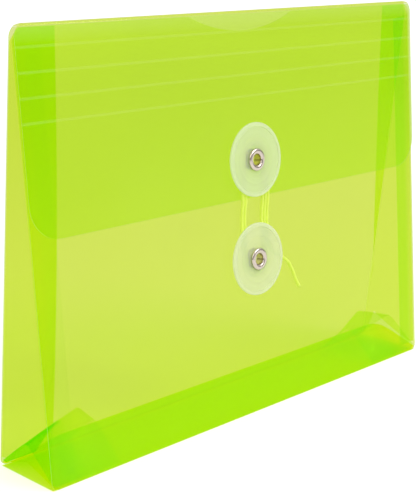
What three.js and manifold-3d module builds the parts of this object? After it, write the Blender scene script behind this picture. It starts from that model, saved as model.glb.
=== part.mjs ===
// A plastic booklet envelope with a button and string closure, standing slightly open.
// Units are millimetres. X runs along the envelope, Y goes away from the flap side, Z is up.
// The origin is under the middle of the part, on the surface that the envelope stands on.
import * as THREE from 'three';
import Module from 'manifold-3d';
import { mergeVertices } from 'three/addons/utils/BufferGeometryUtils.js';

// Driving dimensions of the film body
const panelWidth = 190.5;
const panelHeight = 139.7;
const film = 0.2;
const cornerRadius = 4;
const bottomCornerRadius = 2.5;
const sideGussetHalfWidth = 15.875;
const bottomGussetHalfWidth = 17;
const openDepth = 26.7;

// Thumb notch in the top edge of the front wall
const notchChord = 51;
const notchDepth = 5.5;

// Flap and its fold over the top
const flapLength = 61.9;
const flapSideInset = 0.1;
const flapCornerRadius = 11;
const foldInnerRadius = 0.85;
const flapGap = 0.5;
const scoreFirst = 5.65;
const scorePitch = 7.2;
const scoreCount = 4;
const scoreWidth = 0.6;
const scoreDepth = 0.08;

// Welded hem of the side gussets
const seamTabWidth = 9.6;
const contactGap = 0.06;
const creaseGap = 0.1;
const edgeInset = 0.2;

// Tucked ears in the bottom corners: how far in the peak and the end lie, and their heights
const earPeakIn = 21.5;
const earPeakHeight = 17.9;
const earEndIn = 28;
const earMouthHeight = 11;
const gussetMouthHeight = 5.2;
const gussetFullIn = 16;
const earFootHeight = 0.95;
const earFootInset = 0.5;
const earRise = 0.95;
const earThickness = 0.4;
const earClearance = 0.5;

// Buttons, eyelets and cord
const buttonDiameter = 25.4;
const buttonThickness = 0.7;
const buttonRimHeight = 0.15;
const buttonRimWidth = 1.1;
const buttonRingRadius = 8.2;
const buttonRingWidth = 0.5;
const hubRadius = 3.1;
const hubClearance = 0.15;
const upperButtonMargin = 13.1;
const upperButtonAcross = 0.4;
const buttonSpacing = 34.5;
const barrelRadius = 2.4;
const eyeletBore = 4;
const flangeRadius = 3.8;
const flangeHeight = 0.7;
const clenchRadius = 3.6;
const clenchHeight = 0.3;
const runningClearance = 0.2;
const cordDiameter = 1.2;
const cordClearance = 0.2;
const cordSpacing = 0.2;

// Derived places. A "drop" is measured down a wall from the fold's axis, and a button's or cord's
// height outwards from the front wall's outer face. The crest is the outside top of the fold.
const frontOuter = foldInnerRadius - flapGap;
const frontInner = frontOuter - film;
const foldOuterRadius = foldInnerRadius + film;
const stackDepth = frontOuter + foldOuterRadius;
const crest = foldOuterRadius;
const wallHeight = panelHeight - crest;
const tilt = Math.asin((openDepth - stackDepth) / (2 * wallHeight));
const axisHeight = wallHeight * Math.cos(tilt) - frontInner * Math.sin(tilt);
const backHeight = (axisHeight + foldInnerRadius * Math.sin(tilt)) / Math.cos(tilt);
const halfWidth = panelWidth / 2;
const upperButtonDrop = flapLength - upperButtonMargin;
const lowerButtonDrop = upperButtonDrop + buttonSpacing;
const buttonLift = cordDiameter + 2 * cordClearance;
const flapOuterHeight = flapGap + film;
const eyeletHole = barrelRadius + runningClearance;
const cordRadius = cordDiameter / 2;

const filmFinish = { roughness: 0.3, metalness: 0, transparent: true, opacity: 0.8 };
const filmColour = new THREE.MeshStandardMaterial({ color: 0xb4e632, ...filmFinish });
const gussetColour = new THREE.MeshStandardMaterial({ color: 0xc8e246, ...filmFinish });
const seamColour = new THREE.MeshStandardMaterial({ color: 0x9edb28, ...filmFinish });
const buttonColour = new THREE.MeshStandardMaterial({ color: 0xd6e8ac, roughness: 0.35, metalness: 0 });
const eyeletColour = new THREE.MeshStandardMaterial({ color: 0xc9c2bd, roughness: 0.25, metalness: 1 });
const cordColour = new THREE.MeshStandardMaterial({ color: 0xd8f04e, roughness: 0.8, metalness: 0 });

// A named mesh of one material.
function piece(name, geometry, material) {
  const mesh = new THREE.Mesh(geometry, material);
  mesh.name = name;
  return mesh;
}

// How far a rounded corner draws the edge in, at a given distance from the end of the edge.
function cornerInset(distance, radius) {
  if (distance >= radius) return 0;
  return radius - Math.sqrt(radius * radius - (radius - distance) ** 2);
}

// The outline of a wall that hangs from z = 0, with rounded corners and an optional notch. The
// rounding of its top corners starts at a rise above that line, where the fold carries it on.
function wallOutline(width, length, rise, bottomRadius, notch) {
  const x = width / 2;
  const topCentre = rise - cornerRadius;
  const topAngle = Math.asin(-topCentre / cornerRadius);
  const shape = new THREE.Shape();
  shape.moveTo(-x, topCentre);
  shape.lineTo(-x, bottomRadius - length);
  shape.absarc(bottomRadius - x, bottomRadius - length, bottomRadius, Math.PI, 1.5 * Math.PI, false);
  shape.lineTo(x - bottomRadius, -length);
  shape.absarc(x - bottomRadius, bottomRadius - length, bottomRadius, 1.5 * Math.PI, 2 * Math.PI, false);
  shape.lineTo(x, topCentre);
  shape.absarc(x - cornerRadius, topCentre, cornerRadius, 0, topAngle, false);
  if (notch) {
    const radius = (notch.chord ** 2 / 4 + notch.depth ** 2) / (2 * notch.depth);
    const half = Math.asin(notch.chord / 2 / radius);
    const top = radius - notch.depth;
    shape.absarc(0, top, radius, half - 0.5 * Math.PI, -half - 0.5 * Math.PI, true);
  }
  shape.absarc(cornerRadius - x, topCentre, cornerRadius, Math.PI - topAngle, Math.PI, false);
  return shape;
}

// A round hole in a wall, at a place across it and a distance below its top.
function holeAt(across, drop, radius) {
  const hole = new THREE.Path();
  hole.absarc(across, -drop, radius, 0, 2 * Math.PI, true);
  return hole;
}

// A flat film cut to an outline, lying between y = inner and y = inner + film.
function wall(shape, inner) {
  const options = { depth: film, bevelEnabled: false, curveSegments: 12 };
  const geometry = new THREE.ExtrudeGeometry(shape, options);
  geometry.rotateX(Math.PI / 2);
  geometry.translate(0, inner + film, 0);
  return geometry;
}

// A closed thin skin between two grids of points, rows by columns.
function skin(outer, inner) {
  const rows = outer.length;
  const columns = outer[0].length;
  const points = [...outer.flat(), ...inner.flat()];
  const index = [];
  const offset = rows * columns;
  const quad = (a, b, c, d) => index.push(a, b, c, a, c, d);
  const quadBehind = (a, b, c, d) => index.push(a, c, b, a, d, c);
  const at = (r, c) => r * columns + c;
  for (let r = 0; r + 1 < rows; r += 1) {
    for (let c = 0; c + 1 < columns; c += 1) {
      const corners = [at(r, c), at(r, c + 1), at(r + 1, c + 1), at(r + 1, c)];
      quad(...corners);
      quadBehind(...corners.map((i) => i + offset));
    }
  }
  const side = (a, b) => quad(b, a, a + offset, b + offset);
  for (let c = 0; c + 1 < columns; c += 1) {
    side(at(0, c), at(0, c + 1));
    side(at(rows - 1, c + 1), at(rows - 1, c));
  }
  for (let r = 0; r + 1 < rows; r += 1) {
    side(at(r + 1, 0), at(r, 0));
    side(at(r, columns - 1), at(r + 1, columns - 1));
  }
  const geometry = new THREE.BufferGeometry();
  geometry.setAttribute('position', new THREE.Float32BufferAttribute(points.flat(), 3));
  geometry.setIndex(signedVolume(points, index) < 0 ? index.reverse() : index);
  geometry.computeVertexNormals();
  return geometry;
}

// Six times the volume that a list of triangles encloses, positive where they face out.
function signedVolume(points, index) {
  let sum = 0;
  for (let i = 0; i < index.length; i += 3) {
    const [a, b, c] = index.slice(i, i + 3).map((k) => new THREE.Vector3(...points[k]));
    sum += a.dot(b.cross(c));
  }
  return sum;
}

// The depth Y of a plane of the front wall or the back wall at a height, at rest.
function frontPlane(localDepth, height) {
  return (localDepth - (axisHeight - height) * Math.sin(tilt)) / Math.cos(tilt);
}

function backPlane(localDepth, height) {
  return (localDepth + (axisHeight - height) * Math.sin(tilt)) / Math.cos(tilt);
}

// The middle depth between the two walls, where every gusset crease lies.
function middleDepth(height) {
  return (frontPlane(-frontInner, height) + backPlane(foldInnerRadius, height)) / 2;
}

// Height of the bottom gusset's crease, at a distance in from the side.
const creaseHeight = Math.sqrt(bottomGussetHalfWidth ** 2 - ((openDepth - 2 * film) / 2) ** 2);
function bottomCreaseHeight(inwards) {
  const share = Math.max(0, 1 - inwards / gussetFullIn);
  return creaseHeight - (creaseHeight - gussetMouthHeight) * share ** 2;
}

// Height of an ear's ridge, at a distance in from the side: up to the peak, then down to the crease.
function earRidgeHeight(inwards) {
  if (inwards <= earPeakIn) {
    const share = inwards / earPeakIn;
    return earMouthHeight + (earPeakHeight - earMouthHeight) * share ** 0.9;
  }
  const share = (inwards - earPeakIn) / (earEndIn - earPeakIn);
  const end = creaseHeight + earRise;
  return end + (earPeakHeight - end) * (1 - share);
}

// Height just clear of an ear's outer face, over a place given by distance in and depth.
function overEar(inwards, depth) {
  const foot = earFootHeight + cornerInset(inwards, bottomCornerRadius);
  const ridge = earRidgeHeight(inwards);
  const front = frontPlane(-frontInner + earFootInset, foot);
  const back = backPlane(foldInnerRadius - earFootInset, foot);
  const middle = middleDepth(ridge);
  const share = depth < middle ? (depth - front) / (middle - front) : (back - depth) / (back - middle);
  return foot + (ridge - foot) * Math.min(1, Math.max(0, share)) + earThickness + earClearance;
}

// One half of a side gusset: from its root at a wall's edge in to the crease.
function sideGussetHalf(side, isFront) {
  const rootDepth = isFront
    ? (z) => frontPlane(-frontInner + 2 * contactGap + 1.5 * film + contactGap / 2, z)
    : (z) => backPlane(foldInnerRadius - contactGap - film / 2, z);
  const creaseOffset = (isFront ? -1 : 1) * (creaseGap + film) / 2;
  const top = axisHeight - contactGap - film;
  const rowCount = 16;
  const columnCount = 5;
  const centre = (share, z) => {
    const root = rootDepth(z);
    const crease = middleDepth(z) + creaseOffset;
    const run = Math.sqrt(sideGussetHalfWidth ** 2 - (crease - root) ** 2);
    const inset = edgeInset + cornerInset(axisHeight - z, cornerRadius);
    const slope = new THREE.Vector2(crease - root, inset - run).normalize();
    return { inwards: inset + (run - inset) * share, depth: root + (crease - root) * share, slope };
  };
  const lowestAt = (share) => {
    let low = earFootHeight;
    for (let i = 0; i < 4; i += 1) {
      const p = centre(share, low);
      low = overEar(p.inwards, p.depth);
    }
    return low;
  };
  const grid = (shift) => {
    const rows = [];
    for (let row = 0; row <= rowCount; row += 1) {
      const line = [];
      for (let column = 0; column <= columnCount; column += 1) {
        const share = column / columnCount;
        const z = top - (top - lowestAt(share)) * (1 - row / rowCount) ** 1.5;
        const p = centre(share, z);
        line.push([side * (halfWidth - p.inwards - p.slope.x * shift), p.depth + p.slope.y * shift, z]);
      }
      rows.push(line);
    }
    return rows;
  };
  return skin(grid(film / 2), grid(-film / 2));
}

// Distances in from the left side at which the bottom gusset and the ears have a section.
function endStations(last) {
  const stations = [];
  const count = 10;
  for (let i = 0; i <= count; i += 1) {
    stations.push(edgeInset + 0.4 + (last - edgeInset - 0.4) * i / count);
  }
  return stations;
}

// One half of the bottom gusset: from a wall's bottom edge up to the crease.
function bottomGussetHalf(isFront) {
  const sign = isFront ? -1 : 1;
  const foot = (z) => (isFront
    ? frontPlane(-frontInner + creaseGap, z)
    : backPlane(foldInnerRadius - creaseGap, z));
  const ends = endStations(gussetFullIn);
  const left = ends.map((inwards) => ({ x: inwards - halfWidth, inwards }));
  const right = ends.map((inwards) => ({ x: halfWidth - inwards, inwards })).reverse();
  const vertical = film * bottomGussetHalfWidth / (openDepth / 2);
  const grid = (shift) => [...left, ...right].map(({ x, inwards }) => {
    const footHeight = cornerInset(inwards, bottomCornerRadius) + edgeInset;
    const crease = bottomCreaseHeight(inwards);
    const creaseDepth = middleDepth(crease) + sign * creaseGap / 2;
    return [
      [x, foot(footHeight), footHeight + shift * vertical],
      [x, creaseDepth, crease - vertical + shift * vertical],
    ];
  });
  return skin(grid(1), grid(0));
}

// The tucked ear in a bottom corner: a tent of film that stands over the end of the bottom gusset.
function cornerEar(side) {
  const stations = endStations(earEndIn);
  const grid = (shift) => stations.map((inwards) => {
    const x = side * (halfWidth - inwards);
    const foot = earFootHeight + cornerInset(inwards, bottomCornerRadius);
    const ridge = earRidgeHeight(inwards);
    const front = frontPlane(-frontInner + earFootInset, foot);
    const back = backPlane(foldInnerRadius - earFootInset, foot);
    return [
      [x, front, foot + shift * earThickness],
      [x, middleDepth(ridge), ridge + shift * earThickness],
      [x, back, foot + shift * earThickness],
    ];
  });
  return skin(grid(1), grid(0));
}

// The welded hem of a side gusset, flat against the inside of the front wall.
function seamTab(side) {
  const shape = new THREE.Shape();
  const outer = halfWidth - edgeInset;
  const inner = halfWidth - seamTabWidth;
  const low = -wallHeight + bottomCornerRadius + earFootHeight;
  shape.moveTo(side * outer, -cornerRadius);
  shape.lineTo(side * inner, -notchDepth);
  shape.lineTo(side * inner, low);
  shape.lineTo(side * outer, low);
  shape.closePath();
  return wall(shape, -frontInner + contactGap);
}

// The half round strip of film that carries the back wall's sheet over the top into the flap. Its
// ends carry on the rounding of the walls' top corners.
function flapFold() {
  const trim = creaseGap / foldOuterRadius;
  const span = Math.PI - 2 * (tilt + trim);
  const rowCount = 24;
  const grid = (radius) => {
    const rows = [];
    for (let row = 0; row <= rowCount; row += 1) {
      const share = row / rowCount;
      const angle = tilt + trim + span * share;
      const half = halfWidth - cornerInset(crest * (1 - Math.sin(Math.PI * share)), cornerRadius);
      const y = radius * Math.cos(angle);
      const z = radius * Math.sin(angle);
      rows.push([[-half, y, z], [half, y, z]]);
    }
    return rows;
  };
  return skin(grid(foldOuterRadius), grid(foldInnerRadius));
}

// Turns a closed geometry into a manifold solid, and back.
function toSolid(wasm, geometry) {
  const bare = geometry.clone();
  bare.deleteAttribute('normal');
  bare.deleteAttribute('uv');
  const merged = mergeVertices(bare, 1e-5);
  const vertProperties = new Float32Array(merged.attributes.position.array);
  const triVerts = new Uint32Array(merged.index.array);
  return new wasm.Manifold(new wasm.Mesh({ numProp: 3, vertProperties, triVerts }));
}

function fromSolid(solid) {
  const mesh = solid.getMesh();
  const geometry = new THREE.BufferGeometry();
  geometry.setAttribute('position', new THREE.BufferAttribute(mesh.vertProperties, 3));
  geometry.setIndex(new THREE.BufferAttribute(mesh.triVerts, 1));
  geometry.computeVertexNormals();
  return geometry;
}

// A long three sided bar that cuts one score line into the flap's outer face.
function scoreBar(drop) {
  const shape = new THREE.Shape();
  shape.moveTo(-scoreDepth, -scoreWidth / 2);
  shape.lineTo(-scoreDepth, scoreWidth / 2);
  shape.lineTo(scoreDepth, 0);
  shape.closePath();
  const geometry = new THREE.ExtrudeGeometry(shape, { depth: panelWidth, bevelEnabled: false });
  geometry.rotateY(Math.PI / 2);
  geometry.rotateX(Math.PI / 2);
  geometry.translate(-halfWidth, -foldOuterRadius, -drop);
  return geometry;
}

// The flap: a rounded film with a hole for its eyelet and shallow score lines across it.
function flap(wasm) {
  const width = panelWidth - 2 * flapSideInset;
  const shape = wallOutline(width, flapLength, crest, flapCornerRadius, null);
  shape.holes.push(holeAt(upperButtonAcross, upperButtonDrop, eyeletHole));
  let solid = toSolid(wasm, wall(shape, -foldOuterRadius));
  for (let i = 0; i < scoreCount; i += 1) {
    solid = solid.subtract(toSolid(wasm, scoreBar(scoreFirst + i * scorePitch)));
  }
  return fromSolid(solid);
}

// A turned ring from a closed profile of radius and height, facing out of the front wall.
function turned(profile, segments) {
  const points = [...profile, profile[0]].map(([r, h]) => new THREE.Vector2(r, h));
  const geometry = new THREE.LatheGeometry(points, segments);
  geometry.rotateX(Math.PI);
  return geometry;
}

// A quarter or half round of profile points about a centre.
function roundProfile(centreRadius, centreHeight, radius, from, to, count) {
  const points = [];
  for (let i = 0; i <= count; i += 1) {
    const angle = from + (to - from) * i / count;
    points.push([centreRadius + radius * Math.cos(angle), centreHeight + radius * Math.sin(angle)]);
  }
  return points;
}

// A hollow rivet: clenched flange, barrel and rolled flange. Heights are where the two flanges seat.
function eyelet(clenchSeat, flangeSeat) {
  const bore = eyeletBore / 2;
  const middle = (bore + flangeRadius) / 2;
  const roll = (flangeRadius - bore) / 2;
  const crown = roundProfile(0, 0, 1, 0, Math.PI, 8).map(([c, s]) => [
    middle + roll * c,
    flangeSeat + flangeHeight * (0.35 + 0.65 * s),
  ]);
  return turned([
    [bore, clenchSeat - clenchHeight],
    [clenchRadius, clenchSeat - clenchHeight],
    [clenchRadius, clenchSeat],
    [barrelRadius, clenchSeat],
    [barrelRadius, flangeSeat],
    [flangeRadius, flangeSeat],
    ...crown,
  ], 32);
}

// A button: a disc with a rim and a ring moulded on it, on a short hub. The seat is the film's face.
function button(seat) {
  const under = seat + buttonLift;
  const top = under + buttonThickness;
  const outer = buttonDiameter / 2;
  const raised = top + buttonRimHeight;
  const edge = buttonThickness / 2;
  return turned([
    [eyeletHole, seat + hubClearance],
    [hubRadius, seat + hubClearance],
    [hubRadius, under],
    ...roundProfile(outer - edge, under + edge, edge, -Math.PI / 2, 0, 4),
    [outer, raised - edge / 2],
    [outer - edge / 2, raised],
    [outer - buttonRimWidth, raised],
    [outer - buttonRimWidth - buttonRimHeight, top],
    [buttonRingRadius + buttonRingWidth, top],
    [buttonRingRadius, top + buttonRimHeight / 2],
    [buttonRingRadius - buttonRingWidth, top],
    [eyeletHole, top],
  ], 48);
}

// Points on a turn of cord about a hub, angles in degrees, going clockwise as seen from the front.
function hubTurn(hub, fromAngle, toAngle, fromRadius, toRadius) {
  const step = 22.5;
  const count = Math.round((fromAngle - toAngle) / step);
  const points = [];
  for (let i = 0; i <= count; i += 1) {
    const angle = (fromAngle - i * step) * Math.PI / 180;
    const radius = fromRadius + (toRadius - fromRadius) * i / count;
    points.push([hub.across + radius * Math.cos(angle), hub.height, hub.drop - radius * Math.sin(angle)]);
  }
  return points;
}

// The cord's way: across, height over the front wall, and drop. It winds two and a half times round
// both hubs, two strands on the left and three on the right, and its tail hangs to the lower right.
function cordRoute() {
  const low = cordRadius + cordClearance;
  const upper = { across: upperButtonAcross, drop: upperButtonDrop, height: flapOuterHeight + low };
  const lower = { across: 0, drop: lowerButtonDrop, height: low };
  const pitch = cordDiameter + cordSpacing;
  const reach = (turns) => hubRadius + cordRadius + cordClearance + 0.05 + turns * pitch;
  const flapEdge = flapLength + 0.5;
  const strand = (offset) => [
    [upper.across + offset, upper.height, flapEdge - 6],
    [upper.across * 0.8 + offset, upper.height, flapEdge],
    [upper.across * 0.4 + offset, low, flapEdge + 6],
    [offset, low, lower.drop - 8],
  ];
  const under = (turns) => hubTurn(lower, 0, -180, reach(turns), reach(turns + 0.5));
  const over = (turns) => [
    ...hubTurn(upper, 180, 90, reach(turns), reach(turns + 0.5)),
    ...hubTurn(upper, 67.5, 0, reach(turns + 0.5), reach(turns + 0.5)),
  ];
  return [
    ...hubTurn(upper, 67.5, 0, reach(0), reach(0)),
    ...strand(reach(0)),
    ...under(0),
    ...strand(-reach(0.5)).reverse(),
    ...over(0.5),
    ...strand(reach(1)),
    ...under(1),
    ...strand(-reach(1.5)).reverse(),
    ...over(1.5),
    ...strand(reach(2)),
    ...tailRoute(lower),
  ];
}

// The cord's free end, from the last strand out under the lower disc's edge.
function tailRoute(lower) {
  const places = [
    [7.0, -4.6], [8.2, -2.0], [10.2, -0.2], [12.7, 1.0], [15.15, 2.7], [17.25, 4.4],
    [18.6, 6.5], [19.8, 8.7], [20.6, 10.6], [21.5, 12.4], [22.9, 14.9],
  ];
  return places.map(([across, below]) => [across, lower.height, lower.drop + below]);
}

// The free tube of cord along its route, and the least gap that it keeps to itself.
function tieString() {
  const points = cordRoute().map(([x, height, drop]) => new THREE.Vector3(x, -frontOuter - height, -drop));
  const curve = new THREE.CatmullRomCurve3(points, false, 'centripetal');
  const steps = 132;
  printCordGap(curve);
  const sides = 8;
  const section = new THREE.Shape();
  for (let i = 0; i < sides; i += 1) {
    const angle = 2 * Math.PI * i / sides;
    const x = cordRadius * Math.cos(angle);
    const y = cordRadius * Math.sin(angle);
    if (i === 0) section.moveTo(x, y);
    else section.lineTo(x, y);
  }
  section.closePath();
  return new THREE.ExtrudeGeometry(section, { steps, extrudePath: curve, bevelEnabled: false });
}

function printCordGap(curve) {
  const samples = curve.getSpacedPoints(400);
  const spacing = curve.getLength() / 400;
  const apart = Math.ceil(2.5 * cordDiameter / spacing);
  let least = Infinity;
  for (let i = 0; i < samples.length; i += 1) {
    for (let k = i + apart; k < samples.length; k += 1) {
      least = Math.min(least, samples[i].distanceTo(samples[k]));
    }
  }
  const gap = (least - cordDiameter).toFixed(2);
  console.log(`cord length ${curve.getLength().toFixed(1)} mm, least gap to itself ${gap} mm`);
}

function frontWall() {
  const notch = { chord: notchChord, depth: notchDepth };
  const shape = wallOutline(panelWidth, wallHeight, 0, bottomCornerRadius, notch);
  shape.holes.push(holeAt(0, lowerButtonDrop, eyeletHole));
  return wall(shape, -frontOuter);
}

function backWall() {
  const shape = wallOutline(panelWidth, backHeight, crest, bottomCornerRadius, null);
  return wall(shape, foldInnerRadius);
}

// A button and its eyelet at a place on the front, standing on a seat height.
function closure(name, across, drop, seat, filmInner) {
  const group = new THREE.Group();
  const flangeSeat = seat + buttonLift + buttonThickness + contactGap;
  group.add(piece(`${name}_button`, button(seat), buttonColour));
  group.add(piece(`${name}_eyelet`, eyelet(filmInner - contactGap, flangeSeat), eyeletColour));
  group.position.set(across, -frontOuter, -drop);
  return group;
}

// Lathes turn about Y, so the front frame's outward direction is minus Y.
function frontGroup(wasm) {
  const group = new THREE.Group();
  group.add(piece('front_panel', frontWall(), filmColour));
  group.add(piece('left_seam_tab', seamTab(-1), seamColour));
  group.add(piece('right_seam_tab', seamTab(1), seamColour));
  group.add(piece('flap', flap(wasm), filmColour));
  group.add(closure('upper', upperButtonAcross, upperButtonDrop, flapOuterHeight, flapGap));
  group.add(closure('lower', 0, lowerButtonDrop, 0, -film));
  group.add(piece('tie_string', tieString(), cordColour));
  group.position.z = axisHeight;
  group.rotation.x = -tilt;
  return group;
}

function backGroup() {
  const group = new THREE.Group();
  group.add(piece('back_panel', backWall(), filmColour));
  group.position.z = axisHeight;
  group.rotation.x = tilt;
  return group;
}

function gussets() {
  const group = new THREE.Group();
  for (const [name, side] of [['left', -1], ['right', 1]]) {
    group.add(piece(`${name}_gusset_front`, sideGussetHalf(side, true), gussetColour));
    group.add(piece(`${name}_gusset_back`, sideGussetHalf(side, false), gussetColour));
    group.add(piece(`${name}_corner_ear`, cornerEar(side), seamColour));
  }
  group.add(piece('bottom_gusset_front', bottomGussetHalf(true), gussetColour));
  group.add(piece('bottom_gusset_back', bottomGussetHalf(false), gussetColour));
  return group;
}

// Shifts the part so that its origin is under the middle of its box.
function centreShift() {
  const front = frontPlane(-frontOuter, 0);
  const back = backPlane(foldOuterRadius, 0);
  return -(front + back) / 2;
}

const wasm = await Module();
wasm.setup();
const envelope = new THREE.Group();
const fold = piece('flap_fold', flapFold(), filmColour);
fold.position.z = axisHeight;
envelope.add(frontGroup(wasm), backGroup(), fold, gussets());
for (const child of envelope.children) child.position.y += centreShift();

export default envelope;
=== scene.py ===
"""A translucent lime booklet envelope, closed by a cord between two discs, standing on a pale floor.

Everything is in metres, in the part's own frame: X along the envelope, Y away from the flap side,
Z up. The film walls, hems and flap are the frame's own nodes with new materials. The fold, the
gussets, the ears, the discs, the eyelets and the cord are drawn here in finer form.
"""
import math

import bpy
import numpy as np
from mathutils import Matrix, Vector


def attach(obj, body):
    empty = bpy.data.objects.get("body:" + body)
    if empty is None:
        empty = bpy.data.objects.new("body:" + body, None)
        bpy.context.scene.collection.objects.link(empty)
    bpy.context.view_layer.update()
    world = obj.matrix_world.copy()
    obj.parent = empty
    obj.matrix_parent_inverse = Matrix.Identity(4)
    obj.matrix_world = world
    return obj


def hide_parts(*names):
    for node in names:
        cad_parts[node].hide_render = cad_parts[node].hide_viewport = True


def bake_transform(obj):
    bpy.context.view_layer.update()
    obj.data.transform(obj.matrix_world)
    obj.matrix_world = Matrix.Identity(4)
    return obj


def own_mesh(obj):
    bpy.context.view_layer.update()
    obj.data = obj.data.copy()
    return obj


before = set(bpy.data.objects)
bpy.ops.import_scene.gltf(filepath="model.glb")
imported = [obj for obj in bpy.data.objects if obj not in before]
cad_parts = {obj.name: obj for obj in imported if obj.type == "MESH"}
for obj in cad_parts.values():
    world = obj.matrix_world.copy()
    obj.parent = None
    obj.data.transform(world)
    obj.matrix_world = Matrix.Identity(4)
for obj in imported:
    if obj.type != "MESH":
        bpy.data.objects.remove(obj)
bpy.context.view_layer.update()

MM = 0.001

# The solids' own sizes, in millimetres
PANEL_WIDTH = 190.5
PANEL_HEIGHT = 139.7
FILM = 0.2
CORNER_RADIUS = 4.0
BOTTOM_RADIUS = 2.5
GUSSET_HALF = 17.0
SIDE_GUSSET_HALF = 15.875
OPEN_DEPTH = 26.7
FOLD_INNER = 0.85
FOLD_OUTER = FOLD_INNER + FILM
FLAP_GAP = 0.5
FRONT_OUTER = FOLD_INNER - FLAP_GAP
FRONT_INNER = FRONT_OUTER - FILM
FLAP_OUTER_HEIGHT = FLAP_GAP + FILM
CONTACT_GAP = 0.06
CREASE_GAP = 0.1
BUTTON_LIFT = 1.6
BUTTON_THICKNESS = 0.7
BUTTON_RADIUS = 12.7
HUB_RADIUS = 3.1
UPPER_ACROSS = 0.4
UPPER_DROP = 48.8
LOWER_DROP = 83.3
SCORE_FIRST = 5.65
SCORE_PITCH = 7.2
EAR_PEAK_IN = 21.5
EAR_PEAK_HEIGHT = 17.9
EAR_END_IN = 28.0
EAR_MOUTH_HEIGHT = 11.0
EAR_FOOT_HEIGHT = 0.8
EAR_FOOT_INSET = 0.5
EAR_RISE = 0.95
EAR_THICKNESS = 0.4
EAR_CLEARANCE = 0.5
GUSSET_MOUTH_HEIGHT = 5.2
GUSSET_FULL_IN = 16.0
HALF_WIDTH = PANEL_WIDTH / 2

WALL_HEIGHT = PANEL_HEIGHT - FOLD_OUTER
TILT = math.asin((OPEN_DEPTH - FRONT_OUTER - FOLD_OUTER) / (2 * WALL_HEIGHT))
AXIS_HEIGHT = WALL_HEIGHT * math.cos(TILT) - FRONT_INNER * math.sin(TILT)
CENTRE_SHIFT = -(FOLD_OUTER - FRONT_OUTER) / 2 / math.cos(TILT)
CREASE_HEIGHT = math.sqrt(GUSSET_HALF ** 2 - ((OPEN_DEPTH - 2 * FILM) / 2) ** 2)


# Camera, with its optic axis in pixels from the picture's top left
IMAGE_WIDTH = 416
IMAGE_HEIGHT = 492
FOCAL_PIXELS = 1181.26
OPTIC_COLUMN = 165.47
OPTIC_ROW = 281.90
SENSOR_WIDTH = 36.0
CAMERA_PLACE = (-0.29833, -0.27279, 0.16117)
CAMERA_YAW = math.radians(44.017)
CAMERA_PITCH = math.radians(16.085)


def set_camera():
    """Set the camera where the photograph was taken from, at the left front and a little above."""
    data = bpy.data.cameras.new("camera")
    camera = bpy.data.objects.new("camera", data)
    bpy.context.scene.collection.objects.link(camera)
    level = math.cos(CAMERA_PITCH)
    forward = Vector((math.sin(CAMERA_YAW) * level, math.cos(CAMERA_YAW) * level, -math.sin(CAMERA_PITCH)))
    camera.location = CAMERA_PLACE
    camera.rotation_euler = forward.to_track_quat("-Z", "Y").to_euler()
    data.sensor_fit = "HORIZONTAL"
    data.sensor_width = SENSOR_WIDTH
    data.lens = FOCAL_PIXELS / IMAGE_WIDTH * SENSOR_WIDTH
    data.shift_x = (IMAGE_WIDTH / 2 - OPTIC_COLUMN) / IMAGE_WIDTH
    data.shift_y = (OPTIC_ROW - IMAGE_HEIGHT / 2) / IMAGE_WIDTH
    data.clip_start = 0.01
    bpy.context.scene.camera = camera


set_camera()


# Mesh helpers
def front_point(x, depth, drop):
    """A point given in millimetres in the leaning front wall's frame, as metres in the row frame."""
    c = math.cos(TILT)
    s = math.sin(TILT)
    y = depth * c - drop * s + CENTRE_SHIFT
    z = AXIS_HEIGHT - depth * s - drop * c
    return (x * MM, y * MM, z * MM)


def front_plane(depth, height):
    """The Y of a plane of the front wall, at a depth in the wall's frame and a height over the floor."""
    return (depth - (AXIS_HEIGHT - height) * math.sin(TILT)) / math.cos(TILT) + CENTRE_SHIFT


def back_plane(depth, height):
    """The same for a plane of the back wall."""
    return (depth + (AXIS_HEIGHT - height) * math.sin(TILT)) / math.cos(TILT) + CENTRE_SHIFT


def corner_inset(distance, radius=CORNER_RADIUS):
    """How far a rounded corner draws an edge in, at a distance from the edge's end."""
    if distance >= radius:
        return 0.0
    return radius - math.sqrt(max(0.0, radius ** 2 - (radius - distance) ** 2))


def new_object(name, points, faces, uvs=None, sharp=40):
    """A mesh object, smooth apart from edges sharper than an angle in degrees."""
    mesh = bpy.data.meshes.new(name)
    mesh.from_pydata([tuple(p) for p in points], [], [tuple(f) for f in faces])
    if uvs is not None:
        layer = mesh.uv_layers.new(name="UVMap")
        loops = [uvs[v] for f in faces for v in f]
        layer.data.foreach_set("uv", np.array(loops, np.float32).ravel())
    mesh.validate()
    mesh.shade_smooth()
    mesh.set_sharp_from_angle(angle=math.radians(sharp))
    obj = bpy.data.objects.new(name, mesh)
    bpy.context.scene.collection.objects.link(obj)
    return obj


def outward(points, faces):
    """The faces turned so that a closed mesh encloses a positive volume."""
    volume = 0.0
    array = np.array(points, float)
    for f in faces:
        for i in range(1, len(f) - 1):
            volume += float(np.dot(array[f[0]], np.cross(array[f[i]], array[f[i + 1]])))
    return faces if volume > 0 else [tuple(reversed(f)) for f in faces]


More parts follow.
